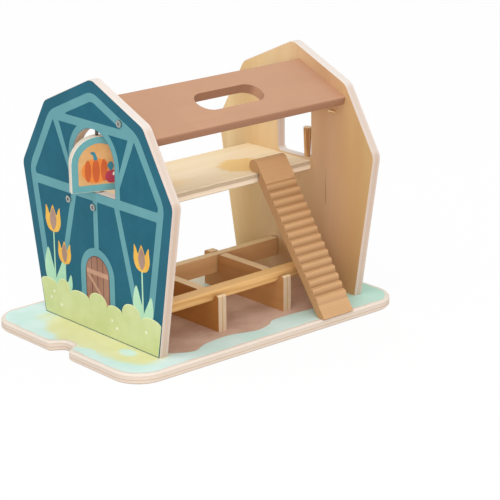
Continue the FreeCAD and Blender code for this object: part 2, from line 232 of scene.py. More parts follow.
# Colours of the glued layers from one face of a board to the other, the third one also that of the flecks
WALL_LAYERS = [(0.0, "d2bfb2"), (0.3, "d0bcad"), (0.36, "c2a996"), (0.42, "ccb6a4"), (0.58, "ccb5a2"),
               (0.64, "c4aa94"), (0.7, "d0bcad"), (1.0, "d2bfb2")]
LOFT_LAYERS = [(0.0, "c4ae92"), (0.07, "d0bca2"), (0.12, "f2dfc6"), (0.3, "f2dfc6"), (0.42, "ead5bc"),
               (0.52, "e4d0b8"), (0.58, "bca68a"), (0.88, "bea88c"), (0.95, "f0dfc2"), (1.0, "f6e8ce")]
BASE_LAYERS = [(0.0, "d8c6b4"), (0.34, "dccdbd"), (0.4, "c0a48e"), (0.46, "dacaba"), (0.7, "dccdbd"),
               (0.75, "cdb8a4"), (0.8, "e2d5c8"), (1.0, "e6dacd")]
STALL_LAYERS = [(0.0, "ceb294"), (0.4, "d0b598"), (0.47, "b8946c"), (0.55, "bf9d76"), (0.62, "d0b598"),
                (1.0, "ccb092")]
SHUTTER_LAYERS = [(0.0, "ddd2c2"), (0.42, "dfd4c4"), (0.48, "cbb9a4"), (0.54, "dfd4c4"), (1.0, "ddd2c2")]
# Veneer of the walls from the front edge to the back, over a reach about the middle: tones of the veneer,
# with painted light that makes them paler towards the back
VENEER_AND_LIGHT = [(0.0, "cba876"), (0.1, "ccaa77"), (0.18, "cea676"), (0.28, "cfa882"), (0.34, "cda782"),
          (0.46, "dcba90"), (0.62, "ebcfa2"), (0.75, "e6c692"), (0.88, "eed2a0"), (1.0, "e4c28c")]
VENEER_REACH = 250.0
# Painted shade that darkens that veneer towards the foot: its colour, its share at the foot and where it
# ends
FOOT_SHADE, FOOT_SHADE_SHARE, FOOT_SHADE_TOP = "a06a38", 0.26, 115.0
# Dark glue joint in that veneer: its colour and share, its distance from the middle, half its width and the
# share of that with full colour, its ends and how far it fades beyond them
JOINT_TONE, JOINT_TONE_SHARE = "7a5434", 0.7
JOINT_Y, JOINT_HALF, JOINT_CORE_SHARE = -46.5, 0.7, 0.3
JOINT_LOW, JOINT_HIGH, JOINT_LOW_FADE, JOINT_HIGH_FADE = 96.0, 100.0, 3.0, 38.0
# How far a surface turns to a board's face where the veneer, and the paint on it, start and are full
FACE_TURN, PAINT_TURN = (0.8, 0.9), (0.86, 0.92)
# How far up an edge faces where its painted light starts and is full
TOP_LIGHT_TURN = (0.2, 0.9)
# How far below the top of a stall board the painted light on its upper edge starts
STALL_RIM = 2.0

TEAL, TEAL_DARK = "1f6174", "1b5b6d"
LOFT_PALE, LOFT_DARK = "f6e6c6", "e9cf9f"


def banded_veneer(f, place, bands):
    """Veneer with bands of colour from the front edge to the back, darkened towards the foot by painted
    shade.
    """
    wander = f.sway(f.clouds(place, 8, detail=1.0), 0.01)
    share = f.math("MULTIPLY_ADD", f.axis(place, 1), 1 / (VENEER_REACH * MM), 0.5)
    face = f.gradient(f.math("ADD", share, wander), bands)
    foot_shade = f.span(f.axis(place, 2), FOOT_SHADE_TOP * MM, FLOOR_Z * MM, most=FOOT_SHADE_SHARE)
    return f.mix(foot_shade, face, colour(FOOT_SHADE))


def glue_joint(f, place):
    """Share of the dark joint line."""
    z = f.axis(place, 2)
    off = f.math("ABSOLUTE", f.math("SUBTRACT", f.axis(place, 1), JOINT_Y * MM))
    line = f.span(off, JOINT_HALF * MM, JOINT_CORE_SHARE * JOINT_HALF * MM, most=JOINT_TONE_SHARE)
    line = f.math("MULTIPLY", line, f.span(z, (JOINT_LOW - JOINT_LOW_FADE) * MM, JOINT_LOW * MM))
    return f.math("MULTIPLY", line, f.span(z, (JOINT_HIGH + JOINT_HIGH_FADE) * MM, JOINT_HIGH * MM))


def ply_edge(f, place, facing, across, low, high, layers, painted_top_light):
    """Layers on the edges of a board, with flecks, and with painted light that makes the upper edges paler.
    """
    level = f.span(f.axis(place, across), low * MM, high * MM, smooth=False)
    wave = f.sway(f.clouds(place, 40, detail=1.0), 0.02)
    edge = f.gradient(f.math("ADD", level, wave), layers)
    flecks = f.clouds(place, 600, rough=0.7)
    fleck_tone = layers[2][1]
    edge = f.mix(f.span(flecks, *reversed(EVEN_LEVELS), most=0.14), edge, colour(fleck_tone))
    if painted_top_light is None:
        return edge
    tone, most, start = painted_top_light
    top_light_share = f.span(f.axis(facing, 2), *TOP_LIGHT_TURN, most=most)
    above = f.math("GREATER_THAN", f.axis(place, 2), start * MM)
    return f.mix(f.math("MULTIPLY", top_light_share, above), edge, colour(tone))


def plywood(name, across, low, high, along, face, dark, layers, painted=0, turn=None, figure=0.7,
            wide=70.0, painted_top_light=None):
    """Ply board between two levels of the axis across it: veneer on its faces, layers on its edges.

    face is the veneer's colour, or its bands from front to back. painted is the sign of the face with
    paint, or 0. turn is the angle and the pivot of a board that stands turned. The last argument is the
    colour of the painted light that makes the upper edges paler, its share and the height where it starts.
    """
    rough = 0.5
    f = Finish(name, rough, specular=0.15)
    place, facing = f.place, f.facing
    if turn is not None:
        angle, pivot = turn
        place = f.turned(place, -angle, pivot)
        facing = f.turned(facing, -angle)
    broad, pores = grain(f, place, along, wide)
    banded = not isinstance(face, str)
    veneer = banded_veneer(f, place, face) if banded else colour(face)
    veneer = f.mix(f.span(broad, *FIGURE_LEVELS, most=figure), veneer, colour(dark))
    veneer = f.mix(f.span(pores, *VENEER_PORES, most=0.08), veneer, colour(dark))
    if banded:
        veneer = f.mix(glue_joint(f, place), veneer, colour(JOINT_TONE))
    edge = ply_edge(f, place, facing, across, low, high, layers, painted_top_light)
    side = f.axis(facing, across)
    tint = f.mix(f.span(f.math("ABSOLUTE", side), *FACE_TURN), edge, veneer)
    if painted:
        mottle = f.clouds(place, 30, detail=3.0, rough=0.6)
        coat = f.mix(f.span(mottle, *EVEN_LEVELS), colour(TEAL_DARK), colour(TEAL))
        tint = f.mix(f.span(f.math("MULTIPLY", side, painted), *PAINT_TURN), tint, coat)
    return f.done(tint, pores, rough=f.sheen(broad, rough, WOOD_SHEEN))


def wall_ply(name, low, high, painted):
    """Ply of a gable wall, painted on its outer face, with painted light on its upper edges and towards the
    back of its veneer, and painted shade towards its foot.
    """
    return plywood(name, 0, low, high, 2, VENEER_AND_LIGHT, "b98a55", WALL_LAYERS, painted, figure=0.3, wide=26.0,
                   painted_top_light=("e8e2dc", 0.7, 0.0))


def stall_ply(node, across, face, dark):
    """Ply of a stall board, with painted light that makes its top edge paler than its ends."""
    low, high = limits(node)
    return plywood(f"{node}_ply", across, low[across], high[across], 1 - across, face, dark, STALL_LAYERS,
                   painted_top_light=("f0d5aa", 0.95, high.z - STALL_RIM))


def stained(name, along, pale, dark, deep, rough=0.55, wide=60.0, figure=0.7, pore=0.12, painted_shading=()):
    """Wood stained all over, with painted light and shade in other colours on the faces that turn to a
    direction.

    Each entry of the painted light and shade is a colour, a direction, the closeness to it where the colour
    sets in and is full, its share, and None or the hollows that it fills: their outward direction, the
    level where it starts and their depth.
    """
    f = Finish(name, rough, specular=0.25)
    broad, pores = grain(f, f.place, along, wide)
    tint = f.mix(f.span(broad, *FIGURE_LEVELS, most=figure), colour(pale), colour(dark))
    tint = f.mix(f.span(pores, *STAIN_PORES, most=pore), tint, colour(deep))
    blotch = f.clouds(f.place, 18)
    tint = f.mix(f.span(blotch, 0.35, 0.75, most=0.12), tint, colour(deep))
    for code, direction, start, full, most, hollows in painted_shading:
        share = f.span(f.dot(f.facing, direction), start, full, most=most)
        if hollows is not None:
            out, top, depth = hollows
            share = f.math("MULTIPLY", share, f.span(f.dot(f.place, out), top, top - depth * MM))
        tint = f.mix(share, tint, colour(code))
    return f.done(tint, pores, strength=0.15, rough=f.sheen(broad, rough, WOOD_SHEEN))


def striped(name, pale, dark, deep, end):
    """Post with light and dark upright stripes and pale end grain on top."""
    f = Finish(name)
    stripes = f.noise(f.place, (420, 420, 6), rough=0.6)
    tint = f.mix(f.span(stripes, 0.42, 0.56), colour(dark), colour(pale))
    pores = f.noise(f.place, (900, 900, 30), rough=0.6)
    tint = f.mix(f.span(pores, *PORES, most=0.3), tint, colour(deep))
    tint = f.mix(f.span(f.axis(f.facing, 2), 0.5, 0.75), tint, colour(end))
    return f.done(tint, pores)


def print_ink(name, pale, dark, along=2):
    """Screen-printed ink on veneer: slight mottling and the grain telling through."""
    rough = 0.55
    f = Finish(name, rough, specular=0.12)
    mottle = f.clouds(f.place, 35, detail=3.0, rough=0.6)
    broad, pores = grain(f, f.place, along, wide=90.0, slow=6.0, fine=1100.0)
    tint = f.mix(f.span(mottle, *EVEN_LEVELS), colour(dark), colour(pale))
    tint = f.mix(f.span(pores, *INK_PORES, most=0.14), tint, colour(dark))
    return f.done(tint, pores, strength=0.15, rough=f.sheen(broad, rough, INK_SHEEN))


# Sprayed spots on the base and the loft: the middle and the reach of each
NEAR_LIME, FAR_LIME = ((-128, -8), (37, 86)), ((126, 30), (30, 70))
MINT_SPOTS = [((-166, -29), (9, 12)), ((-139, -57), (7, 10))]
CREAM_SPOT, CREAM_SHARE = ((32, 56), (34, 18)), 0.8
HAY, HAY_SHARE = ((58, 6), (27, 24)), 0.7
FAINT_HAY, FAINT_HAY_SHARE = ((-58, 8), (40, 22)), 0.24
# How far to the right the mint turns to its deeper tone
DEEP_MINT_X = 140


def meadow_ink():
    """Sprayed meadow on the base: mint, with yellow-green beside both walls and a few mint spots in it."""
    f = Finish("ink_meadow", 0.55, specular=0.2)
    drift = f.clouds(f.place, 22, bend=0.4)
    sway = f.sway(drift, 0.3)
    near_lime = f.spot(*NEAR_LIME, sway, outer=1.25, inner=0.75)
    lime_share = f.math("MAXIMUM", near_lime, f.spot(*FAR_LIME, sway))
    for centre, reach in MINT_SPOTS:
        lime_share = f.math("SUBTRACT", lime_share, f.spot(centre, reach, sway))
    lime_share = f.math("MAXIMUM", lime_share, 0.0)
    mint = f.mix(f.span(drift, 0.35, 0.65), colour("cbe8e1"), colour("d8eeea"))
    mint = f.mix(f.span(f.axis(f.place, 0), 0.0, DEEP_MINT_X * MM), mint, colour("bcdfd0"))
    lime = f.mix(f.span(drift, 0.4, 0.7), colour("e3e0a8"), colour("e9e7ba"))
    tint = f.mix(lime_share, mint, lime)
    cream_share = f.math("MULTIPLY", f.spot(*CREAM_SPOT, sway), CREAM_SHARE)
    tint = f.mix(cream_share, tint, colour("f4eedb"))
    pores = f.noise(f.place, (40, 1100, 1100), rough=0.6)
    tint = f.mix(f.span(pores, *PORES, most=0.1), tint, colour("a9cbb8"))
    return f.done(tint, pores)


def hay_ink():
    """Two warm patches that fade out into the bare veneer of the loft."""
    f = Finish("ink_hay", 0.55, specular=0.2)
    drift = f.noise(f.place, (60, 200, 60), detail=3.0, rough=0.6, bend=0.5)
    sway = f.sway(drift, 0.25)
    strong = f.math("MULTIPLY", f.spot(*HAY, sway, outer=1.2, inner=0.7), HAY_SHARE)
    faint = f.math("MULTIPLY", f.spot(*FAINT_HAY, sway), FAINT_HAY_SHARE)
    broad, pores = grain(f, f.place, 0)
    wood = f.mix(f.span(broad, *FIGURE_LEVELS, most=0.5), colour(LOFT_PALE), colour(LOFT_DARK))
    wood = f.mix(f.span(pores, *VENEER_PORES, most=0.12), wood, colour(LOFT_DARK))
    return f.done(f.mix(f.math("MAXIMUM", strong, faint), wood, colour("ecc063")), pores)


def metal(name, pale, dark, rough):
    """Bare metal, a little uneven in tone and gloss."""
    f = Finish(name, rough, metal=1.0, specular=0.5)
    wear = f.clouds(f.place, 700, detail=3.0, rough=0.6)
    tint = f.mix(f.span(wear, *EVEN_LEVELS), colour(dark), colour(pale))
    return f.done(tint, wear, strength=0.15, rough=f.sheen(wear, rough, METAL_SHEEN, EVEN_LEVELS))


# Directions that the painted light and shade follow, on the ramp from its largest face that turns this far
# to the front
FRONT_TURN = 0.1
LEFT, UP = Vector((-1, 0, 0)), Vector((0, 0, 1))
ROOF_DOWN = Vector((0, -KNEE_HALF, KNEE_HEIGHT - RIDGE_HEIGHT)).normalized()
ramp_shape = nodes["ramp"].data
ramp_fronts = [side for side in ramp_shape.polygons if -side.normal.y > FRONT_TURN]
RAMP_OUT = max(ramp_fronts, key=lambda side: side.area).normal.copy()
RAMP_DOWN = Vector((0, -RAMP_OUT.z, RAMP_OUT.y))
RAMP_TOP = max(v.co.dot(RAMP_OUT) for v in ramp_shape.vertices)
TREAD_DEPTH = 2.5

# Painted shade on the faces of the roof that turn to the front and down: its front edge and the
# front-facing wall of its slot
roof_painted_shade = [("966a50", ROOF_DOWN, 0.3, 0.85, 0.85, None)]
# Painted light that makes the top of the rail paler
rail_painted_light = [("f6cc8c", UP, 0.6, 0.9, 0.8, None)]
# Painted shade on the ramp: on the faces of its treads that turn down the slope, deeper into the hollows
# between them, and on its left side
ramp_painted_shade = [
    ("84582e", RAMP_DOWN, 0.1, 0.3, 0.64, (RAMP_OUT, RAMP_TOP, TREAD_DEPTH)),
    ("8e6238", LEFT, 0.5, 0.9, 0.3, None),
]
finishes = {
    "left_gable_wall": wall_ply("wall_left", -OUTER_X, -INNER_X, -1),
    "right_gable_wall": wall_ply("wall_right", INNER_X, OUTER_X, 1),
    "base_plate": plywood("base_ply", 2, 0.0, FLOOR_Z, 0, "ecdfd2", "dccab8", BASE_LAYERS, figure=0.4),
    "loft_floor": plywood("loft_ply", 2, loft_low.z, LOFT_Z, 0, LOFT_PALE, LOFT_DARK, LOFT_LAYERS,
                          figure=0.5),
    "roof_board": stained("roof_stain", 0, "c19577", "b78a6d", "966a50", rough=0.6, figure=0.35, pore=0.06,
                          painted_shading=roof_painted_shade),
    # The three stall boards have one stain, given here in three tones that copy their light and shade: the
    # left divider darkest, as painted shade, the back plank palest, as painted light
    "stall_divider_left": stall_ply("stall_divider_left", 0, "b67c42", "9e6834"),
    "stall_divider_right": stall_ply("stall_divider_right", 0, "c6915e", "b07e4a"),
    "stall_back_plank": stall_ply("stall_back_plank", 1, "dcae7c", "c89864"),
    "stall_front_rail": stained("honey_pine", 0, "ecc184", "c48f4e", "a67640", rough=0.5, wide=200.0,
                                figure=1.0, pore=0.25, painted_shading=rail_painted_light),
    "ramp": stained("ramp_stain", 0, "d0a578", "c69a6a", "8e6238", figure=0.4, pore=0.08,
                    painted_shading=ramp_painted_shade),
    "window_post": striped("post_stain", "d4a46c", "a4703c", "7a4c24", "ead2b0"),
    "arched_shutter": plywood("shutter_ply", 0, -MID_X - SHUTTER_FACE, -MID_X + SHUTTER_FACE, 2,
                              "69a3a6", "60989c", SHUTTER_LAYERS, figure=0.5,
                              turn=(SHUTTER_TURN, (-MID_X * MM, 0, 0))),
    "roof_dowels": stained("beech_dowel", 0, "d8b88c", "c9a474", "a88456"),
    "wall_hook": metal("brass_wire", "fce8c4", "e4c290", 0.35),
}
for name in ("shutter_upper_pin", "shutter_lower_pin"):
    finishes[name] = metal(f"{name}_steel", "6a655e", "4a4641", 0.45)
steel = metal("screw_steel", "c2c2be", "94948f", 0.32)
for name, piece in nodes.items():
    piece.data.materials.clear()
    piece.data.materials.append(finishes.get(name, steel))

ink = {
    "trim": print_ink("ink_trim", "659ca2", "60969d"),
    "panel": print_ink("ink_panel", TEAL, TEAL_DARK),
    "hedge": print_ink("ink_hedge", "d0d7a0", "c5ce90"),
    "hedge_rim": print_ink("ink_hedge_rim", "e3e9ba", "d9e0a8"),
    "leaf": print_ink("ink_leaf", "b6dcba", "a2ceac"),
    "yellow": print_ink("ink_yellow", "e8b857", "dda844"),
    "taupe": print_ink("ink_taupe", "b09080", "9c7c6c"),
    "door": print_ink("ink_door", "a67c66", "946a55"),
    "door_gap": print_ink("ink_door_gap", "6a4c44", "5a3e38"),
    "door_brace": print_ink("ink_door_brace", "c39a80", "b3896f"),
    "cream": print_ink("ink_cream", "f2efdc", "e6e2c8"),
    "tan": print_ink("ink_tan", "dcae78", "cf9c64"),
    "orange": print_ink("ink_orange", "e8924a", "dd8038"),
    "rust": print_ink("ink_rust", "cf6a3c", "c05c32"),
    "red": print_ink("ink_red", "b8465a", "a63a4c"),
    "sea": print_ink("ink_sea", "4a8c9c", "3c7c8c"),
    "yard": print_ink("ink_yard", "d2b4a0", "c09e8a", along=0),
}


# Flat shapes for the prints

# Longest part of a side that a rounded corner takes up
CORNER_SHARE = 0.45
# Triangles whose doubled area, in square metres, is less than this are left out
SLIVER = 1e-12


def inset(points, step, foot_step):
    """Convex outline with its sides moved inwards, the first side by its own step."""
    lines = []
    for i, (u, v) in enumerate(points):
        u2, v2 = points[(i + 1) % len(points)]
        run = math.hypot(u2 - u, v2 - v)
        nu, nv = -(v2 - v) / run, (u2 - u) / run
        lines.append((nu, nv, nu * u + nv * v + (step if i else foot_step)))
    corners = []
    for (nu1, nv1, off1), (nu2, nv2, off2) in zip(lines[-1:] + lines[:-1], lines):
        det = nu1 * nv2 - nv1 * nu2
        corners.append(((off1 * nv2 - nv1 * off2) / det, (nu1 * off2 - off1 * nu2) / det))
    return corners


def width_at(outline, v):
    """How far an outline reaches towards +u at a height."""
    for (u0, v0), (u1, v1) in zip(outline[1:], outline[2:]):
        if v0 <= v <= v1:
            return u0 + (u1 - u0) * (v - v0) / (v1 - v0)


def rounded(points, reach, steps=6):
    """Outline with its corners cut short by reach and bent round."""
    line = []
    for i, point in enumerate(points):
        here = Vector(point)
        before = Vector(points[i - 1]) - here
        after = Vector(points[(i + 1) % len(points)]) - here
        start = here + before.normalized() * min(reach, before.length * CORNER_SHARE)
        end = here + after.normalized() * min(reach, after.length * CORNER_SHARE)
        for k in range(steps + 1):
            t = k / steps
            line.append(tuple(start * (1 - t) ** 2 + here * 2 * t * (1 - t) + end * t * t))
    return line


def flowing(points, steps=6):
    """Smooth closed line through points."""
    line = []
    count = len(points)
    for i in range(count):
        p0, p1, p2, p3 = (Vector(points[(i + k - 1) % count]) for k in range(4))
        for k in range(steps):
            t = k / steps
            line.append(tuple(0.5 * (2 * p1 + (p2 - p0) * t + (2 * p0 - 5 * p1 + 4 * p2 - p3) * t * t
                                     + (3 * p1 - p0 - 3 * p2 + p3) * t ** 3)))
    return line


def moved(points, du, dv, scale=1.0, turn=0.0, flip=1):
    """Points turned, then mirrored where flip is -1, scaled and moved."""
    c, s = math.cos(turn), math.sin(turn)
    return [(du + scale * flip * (u * c - v * s), dv + scale * (u * s + v * c)) for u, v in points]


def mirrored(points):
    """Points mirrored left to right, in an order that goes round the same way as before."""
    return [(-u, v) for u, v in reversed(points)]


def oval(u, v, ru, rv, turn=0.0, count=28):
    """Closed oval about a middle."""
    turns = [2 * math.pi * i / count for i in range(count)]
    return moved([(ru * math.cos(a), rv * math.sin(a)) for a in turns], u, v, 1.0, turn)


def bow(radius, spring, u_from, u_to, count=14):
    """Points on the upper half of a circle between two widths."""
    a0, a1 = math.acos(u_from / radius), math.acos(u_to / radius)
    turns = [a0 + (a1 - a0) * i / count for i in range(count + 1)]
    return [(radius * math.cos(a), spring + radius * math.sin(a)) for a in turns]


def arch_line(half, foot, spring, count=28):
    """Outline of an arch, from its foot on the +u side over the top to its other foot."""
    return [(half, foot)] + bow(half, spring, half, -half, count) + [(-half, foot)]


def lay(name, loops, place, lift, finish, body="barn"):
    """Flat printed shape on a surface: closed loops, the later ones cut holes in the first."""
    points = [point for loop in loops for point in loop]
    mesh = bpy.data.meshes.new(name)
    work = bmesh.new()
    verts = [work.verts.new(place(u, v, lift) * MM) for u, v in points]
    outward = (place(0, 0, 1) - place(0, 0, 0)).normalized()
    for tri in tessellate_polygon([[Vector((u, v, 0)) for u, v in loop] for loop in loops]):
        corners = [verts[i] for i in tri]
        normal = (corners[1].co - corners[0].co).cross(corners[2].co - corners[0].co)
        if normal.length < SLIVER:
            continue
        if normal.dot(outward) < 0:
            corners.reverse()
        work.faces.new(corners)
    work.to_mesh(mesh)
    work.free()
    mesh.materials.append(finish)
    piece = bpy.data.objects.new(name, mesh)
    scene.collection.objects.link(piece)
    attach(piece, body)


def on_left(u, v, lift):
    """Place over the outer face of the left wall."""
    return Vector((-OUTER_X - lift, u, FLOOR_Z + v))


def on_right(u, v, lift):
    """Place over the outer face of the right wall."""
    return Vector((OUTER_X + lift, u, FLOOR_Z + v))


def on_base(u, v, lift):
    """Place over the top of the base plate."""
    return Vector((u, v, FLOOR_Z + lift))


def on_loft(u, v, lift):
    """Place over the top of the loft."""
    return Vector((u, v, LOFT_Z + lift))


def on_shutter(side):
    """Function that gives places over one face of the turned shutter."""
    turn = Matrix.Rotation(SHUTTER_TURN, 3, "Z")

    def place(u, v, lift):
        return Vector((-MID_X, 0, FLOOR_Z + v)) + turn @ Vector((side * (SHUTTER_FACE + lift), u, 0))
    return place


# Prints of the gable walls: timber lines, stable door, tulips and a hedge

# Heights of the inks above the wood, each more than that of the inks it covers
FIELD_LIFT, PANEL_LIFT, PLANK_LIFT, BAR_LIFT = 0.06, 0.12, 0.16, 0.2
STALK_LIFT, LEAF_LIFT, LEAF_LIFT_STEP, CUP_LIFT, PETAL_LIFT = 0.16, 0.18, 0.01, 0.2, 0.22
RIM_LIFT, BUSH_LIFT, DAISY_LIFT = 0.24, 0.26, 0.28

# Timber lines: distances from the edge, heights, slopes and rounded corners
TRIM_OUT, TRIM_IN, TRIM_ROUND = 10.0, 18.3, 9.0
TIE_LOW, TIE_TOP = 193.4, 201.5
BRACE_OUT, BRACE_IN, BRACE_HEAD_GAP = 59.2, 50.9, 0.5
BRACE_OUT_LEAN, BRACE_IN_LEAN = 0.468, 0.413
STRUT_OUT, STRUT_IN, STRUT_LEAN, STRUT_HEAD = 35.8, 28.3, 0.274, 127.0
BEAM_DROP, BEAM_RISE = 8.5, 0.5
RING_WIDTH, WINDOW_MARGIN = 6.8, 0.3
PRINT_FOOT, PANEL_FOOT = 3.0, 12.0
PANEL_ROUND, TOP_PANEL_ROUND = 1.2, 4.5
POST_HALF = 3.3

# Stable door, with its rail and its brace
DOOR_RING, DOOR_HALF, DOOR_SPRING = 25.3, 17.8, 57.0
DOOR_PLANKS, DOOR_SEAM, DOOR_RIM = 4, 0.9, 0.8
BAR_REACH, BAR_LOW, BAR_TOP, BAR_ROUND = 16.2, 56.0, 60.5, 0.6
DOOR_BRACE_FOOT, DOOR_BRACE_WIDTH, DOOR_BRACE_GAP = 30.0, 4.8, 1.0

# Tulips of size 1, and the middle and the size of each one on a wall
CUP_HALF = [(0, 1.1), (-0.2, 0.78), (-0.42, 0.36), (-0.62, 0.72), (-0.86, 1.0), (-0.9, 0.5),
            (-0.94, -0.2), (-0.62, -0.82), (0, -1.0)]
PETAL_HALF = [(0, -0.8), (0.3, -0.42), (0.4, 0.1), (0.24, 0.6), (0, 0.92)]
BLADE = [(0, 0), (0.34, 0.24), (0.42, 0.6), (0.3, 1.0), (0.12, 0.66), (-0.02, 0.3)]
NECK_SHARE, PETAL_DROP_SHARE = 0.9, 0.06
STALK_FOOT, STALK_FOOT_HALF, STALK_NECK_HALF = 24.0, 1.1, 0.9
LEAF_FOOT, LEAF_LEAST, LEAF_START, LEAF_SHARE = 25.0, 26.0, 30.0, 0.62
# Size, turn and side of the two leaves of a tulip
LEAVES = [(1.0, 0.05, 1), (0.86, -0.1, -1)]
FLOWERS = [(66, 96, 12.5), (50, 66, 10.5), (-66, 88, 12)]

# Hedge: where its bushes meet, how high they reach, and the daisies in it
HEDGE_BREAKS = [(90.0, 29), (63, 29), (43, 27), (14, 28), (-13, 27), (-35, 28), (-63, 28), (-92.0, 29)]
HEDGE_TOPS = [36, 40, 34, 39, 33, 41, 35]
# The hedge's foot stays a little above the base, so that a thin line of dark teal paint shows below it as
# painted shade where the wall meets the base
HEDGE_MARGIN, HEDGE_FOOT, HEDGE_RIM, BUSH_POWER, BUSH_STEPS = 1.6, 0.9, 0.9, 0.8, 12
DAISIES, DAISY_R = [(74, 17), (69, 24), (58, 13), (-20, 18), (-27, 12), (-70, 20)], 1.5


def timber_lines(tag, place, window):
    """Pale timber lines: a pale field with dark panels on it."""
    half, sill, spring, centre = (window[key] for key in ("half", "sill", "spring", "centre"))
    hole = moved(arch_line(half + WINDOW_MARGIN, sill - WINDOW_MARGIN, spring), centre, 0)
    field = rounded(inset(PRINT_EDGE, TRIM_OUT, PRINT_FOOT), TRIM_ROUND)
    lay(tag + "_trim", [field, hole], place, FIELD_LIFT, ink["trim"])
    inner = inset(PRINT_EDGE, TRIM_IN, PRINT_FOOT)
    eave, ridge = inner[2], inner[4]
    beam_low, beam_top = sill - BEAM_DROP, sill + BEAM_RISE
    ring = half + RING_WIDTH
    head = math.sqrt(ring ** 2 - (TIE_LOW - spring) ** 2)
    shapes = []
    for side in (1, -1):
        shift = side * centre
        post_u = ring + shift
        bend = moved(bow(ring, spring, head, ring), shift, 0)
        outer_foot, outer_head, inner_foot, inner_head = [
            edge + STRUT_LEAN * (STRUT_HEAD - v)
            for edge in (STRUT_OUT, STRUT_IN) for v in (PANEL_FOOT, beam_low)
        ]
        panels = [
            rounded([
                (width_at(inner, beam_top), beam_top), eave, (BRACE_OUT + BRACE_HEAD_GAP, TIE_LOW),
                (post_u, TIE_LOW - (BRACE_OUT - post_u) / BRACE_OUT_LEAN), (post_u, beam_top),
            ], PANEL_ROUND, steps=3),
            [(post_u, TIE_LOW - (BRACE_IN - post_u) / BRACE_IN_LEAN), (BRACE_IN, TIE_LOW)] + bend[:-1],
            rounded([
                (width_at(inner, PANEL_FOOT), PANEL_FOOT), (width_at(inner, beam_low), beam_low),
                (outer_head, beam_low), (outer_foot, PANEL_FOOT),
            ], PANEL_ROUND, steps=3),
            [(inner_foot, PANEL_FOOT), (inner_head, beam_low), (POST_HALF, beam_low)]
            + bow(DOOR_RING, DOOR_SPRING, POST_HALF, DOOR_RING) + [(DOOR_RING, PANEL_FOOT)],
        ]
        shapes += panels if side > 0 else [mirrored(panel) for panel in panels]
    edge_u = width_at(inner, TIE_TOP)
    shapes.append(rounded([(edge_u, TIE_TOP), ridge, (-edge_u, TIE_TOP)], TOP_PANEL_ROUND, steps=5))
    for i, shape in enumerate(shapes):
        lay(f"{tag}_panel_{i}", [shape], place, PANEL_LIFT, ink["panel"])


def stable_door(tag, place):
    """Arched door of upright planks with a rail and one slanting brace."""
    gaps = arch_line(DOOR_HALF, PANEL_FOOT, DOOR_SPRING)
    lay(tag + "_door_gaps", [gaps], place, PANEL_LIFT, ink["door_gap"])
    plank_r = DOOR_HALF - DOOR_RIM
    step = 2 * plank_r / DOOR_PLANKS
    for i in range(DOOR_PLANKS):
        left = i * step - plank_r + DOOR_SEAM / 2
        right = left + step - DOOR_SEAM
        plank = [(left, PANEL_FOOT), (right, PANEL_FOOT)] + bow(plank_r, DOOR_SPRING, right, left, count=8)
        lay(f"{tag}_door_plank_{i}", [plank], place, PLANK_LIFT, ink["door"])
    brace_head = BAR_LOW - DOOR_BRACE_GAP
    bars = [
        [(-BAR_REACH, BAR_LOW), (BAR_REACH, BAR_LOW), (BAR_REACH, BAR_TOP), (-BAR_REACH, BAR_TOP)],
        [(-BAR_REACH, DOOR_BRACE_FOOT), (DOOR_BRACE_WIDTH - BAR_REACH, DOOR_BRACE_FOOT),
         (BAR_REACH, brace_head), (BAR_REACH - DOOR_BRACE_WIDTH, brace_head)],
    ]
    for i, bar in enumerate(bars):
        shape = rounded(bar, BAR_ROUND, steps=2)
        lay(f"{tag}_door_bar_{i}", [shape], place, BAR_LIFT, ink["door_brace"])


def tulips(tag, place, flowers):
    """Tulips with a stalk, two leaves, an open cup and one darker petal in it."""
    cup = flowing(CUP_HALF + mirrored(CUP_HALF)[1:-1], steps=4)
    petal = flowing(PETAL_HALF + mirrored(PETAL_HALF)[1:-1], steps=4)
    blade = flowing(BLADE, steps=5)
    for i, (u, v, size) in enumerate(flowers):
        neck = v - size * NECK_SHARE
        stalk = [(u - STALK_FOOT_HALF, STALK_FOOT), (u + STALK_FOOT_HALF, STALK_FOOT),
                 (u + STALK_NECK_HALF, neck), (u - STALK_NECK_HALF, neck)]
        lay(f"{tag}_stalk_{i}", [stalk], place, STALK_LIFT, ink["leaf"])
        tall = max(LEAF_LEAST, (v - LEAF_START) * LEAF_SHARE)
        for k, (share, turn, flip) in enumerate(LEAVES):
            leaf = moved(blade, u, LEAF_FOOT, tall * share, turn, flip)
            lift = LEAF_LIFT + LEAF_LIFT_STEP * k
            lay(f"{tag}_leaf_{i}_{k}", [leaf], place, lift, ink["leaf"])
        lay(f"{tag}_tulip_{i}", [moved(cup, u, v, size)], place, CUP_LIFT, ink["yellow"])
        inside = moved(petal, u, v - PETAL_DROP_SHARE * size, size)
        lay(f"{tag}_petal_{i}", [inside], place, PETAL_LIFT, ink["taupe"])


def edge_at(foot, v):
    """How far from the middle the edge of a wall is at a height, from how far it is at the foot."""
    return foot + (EAVE_HALF - foot) * v / EAVE_HEIGHT


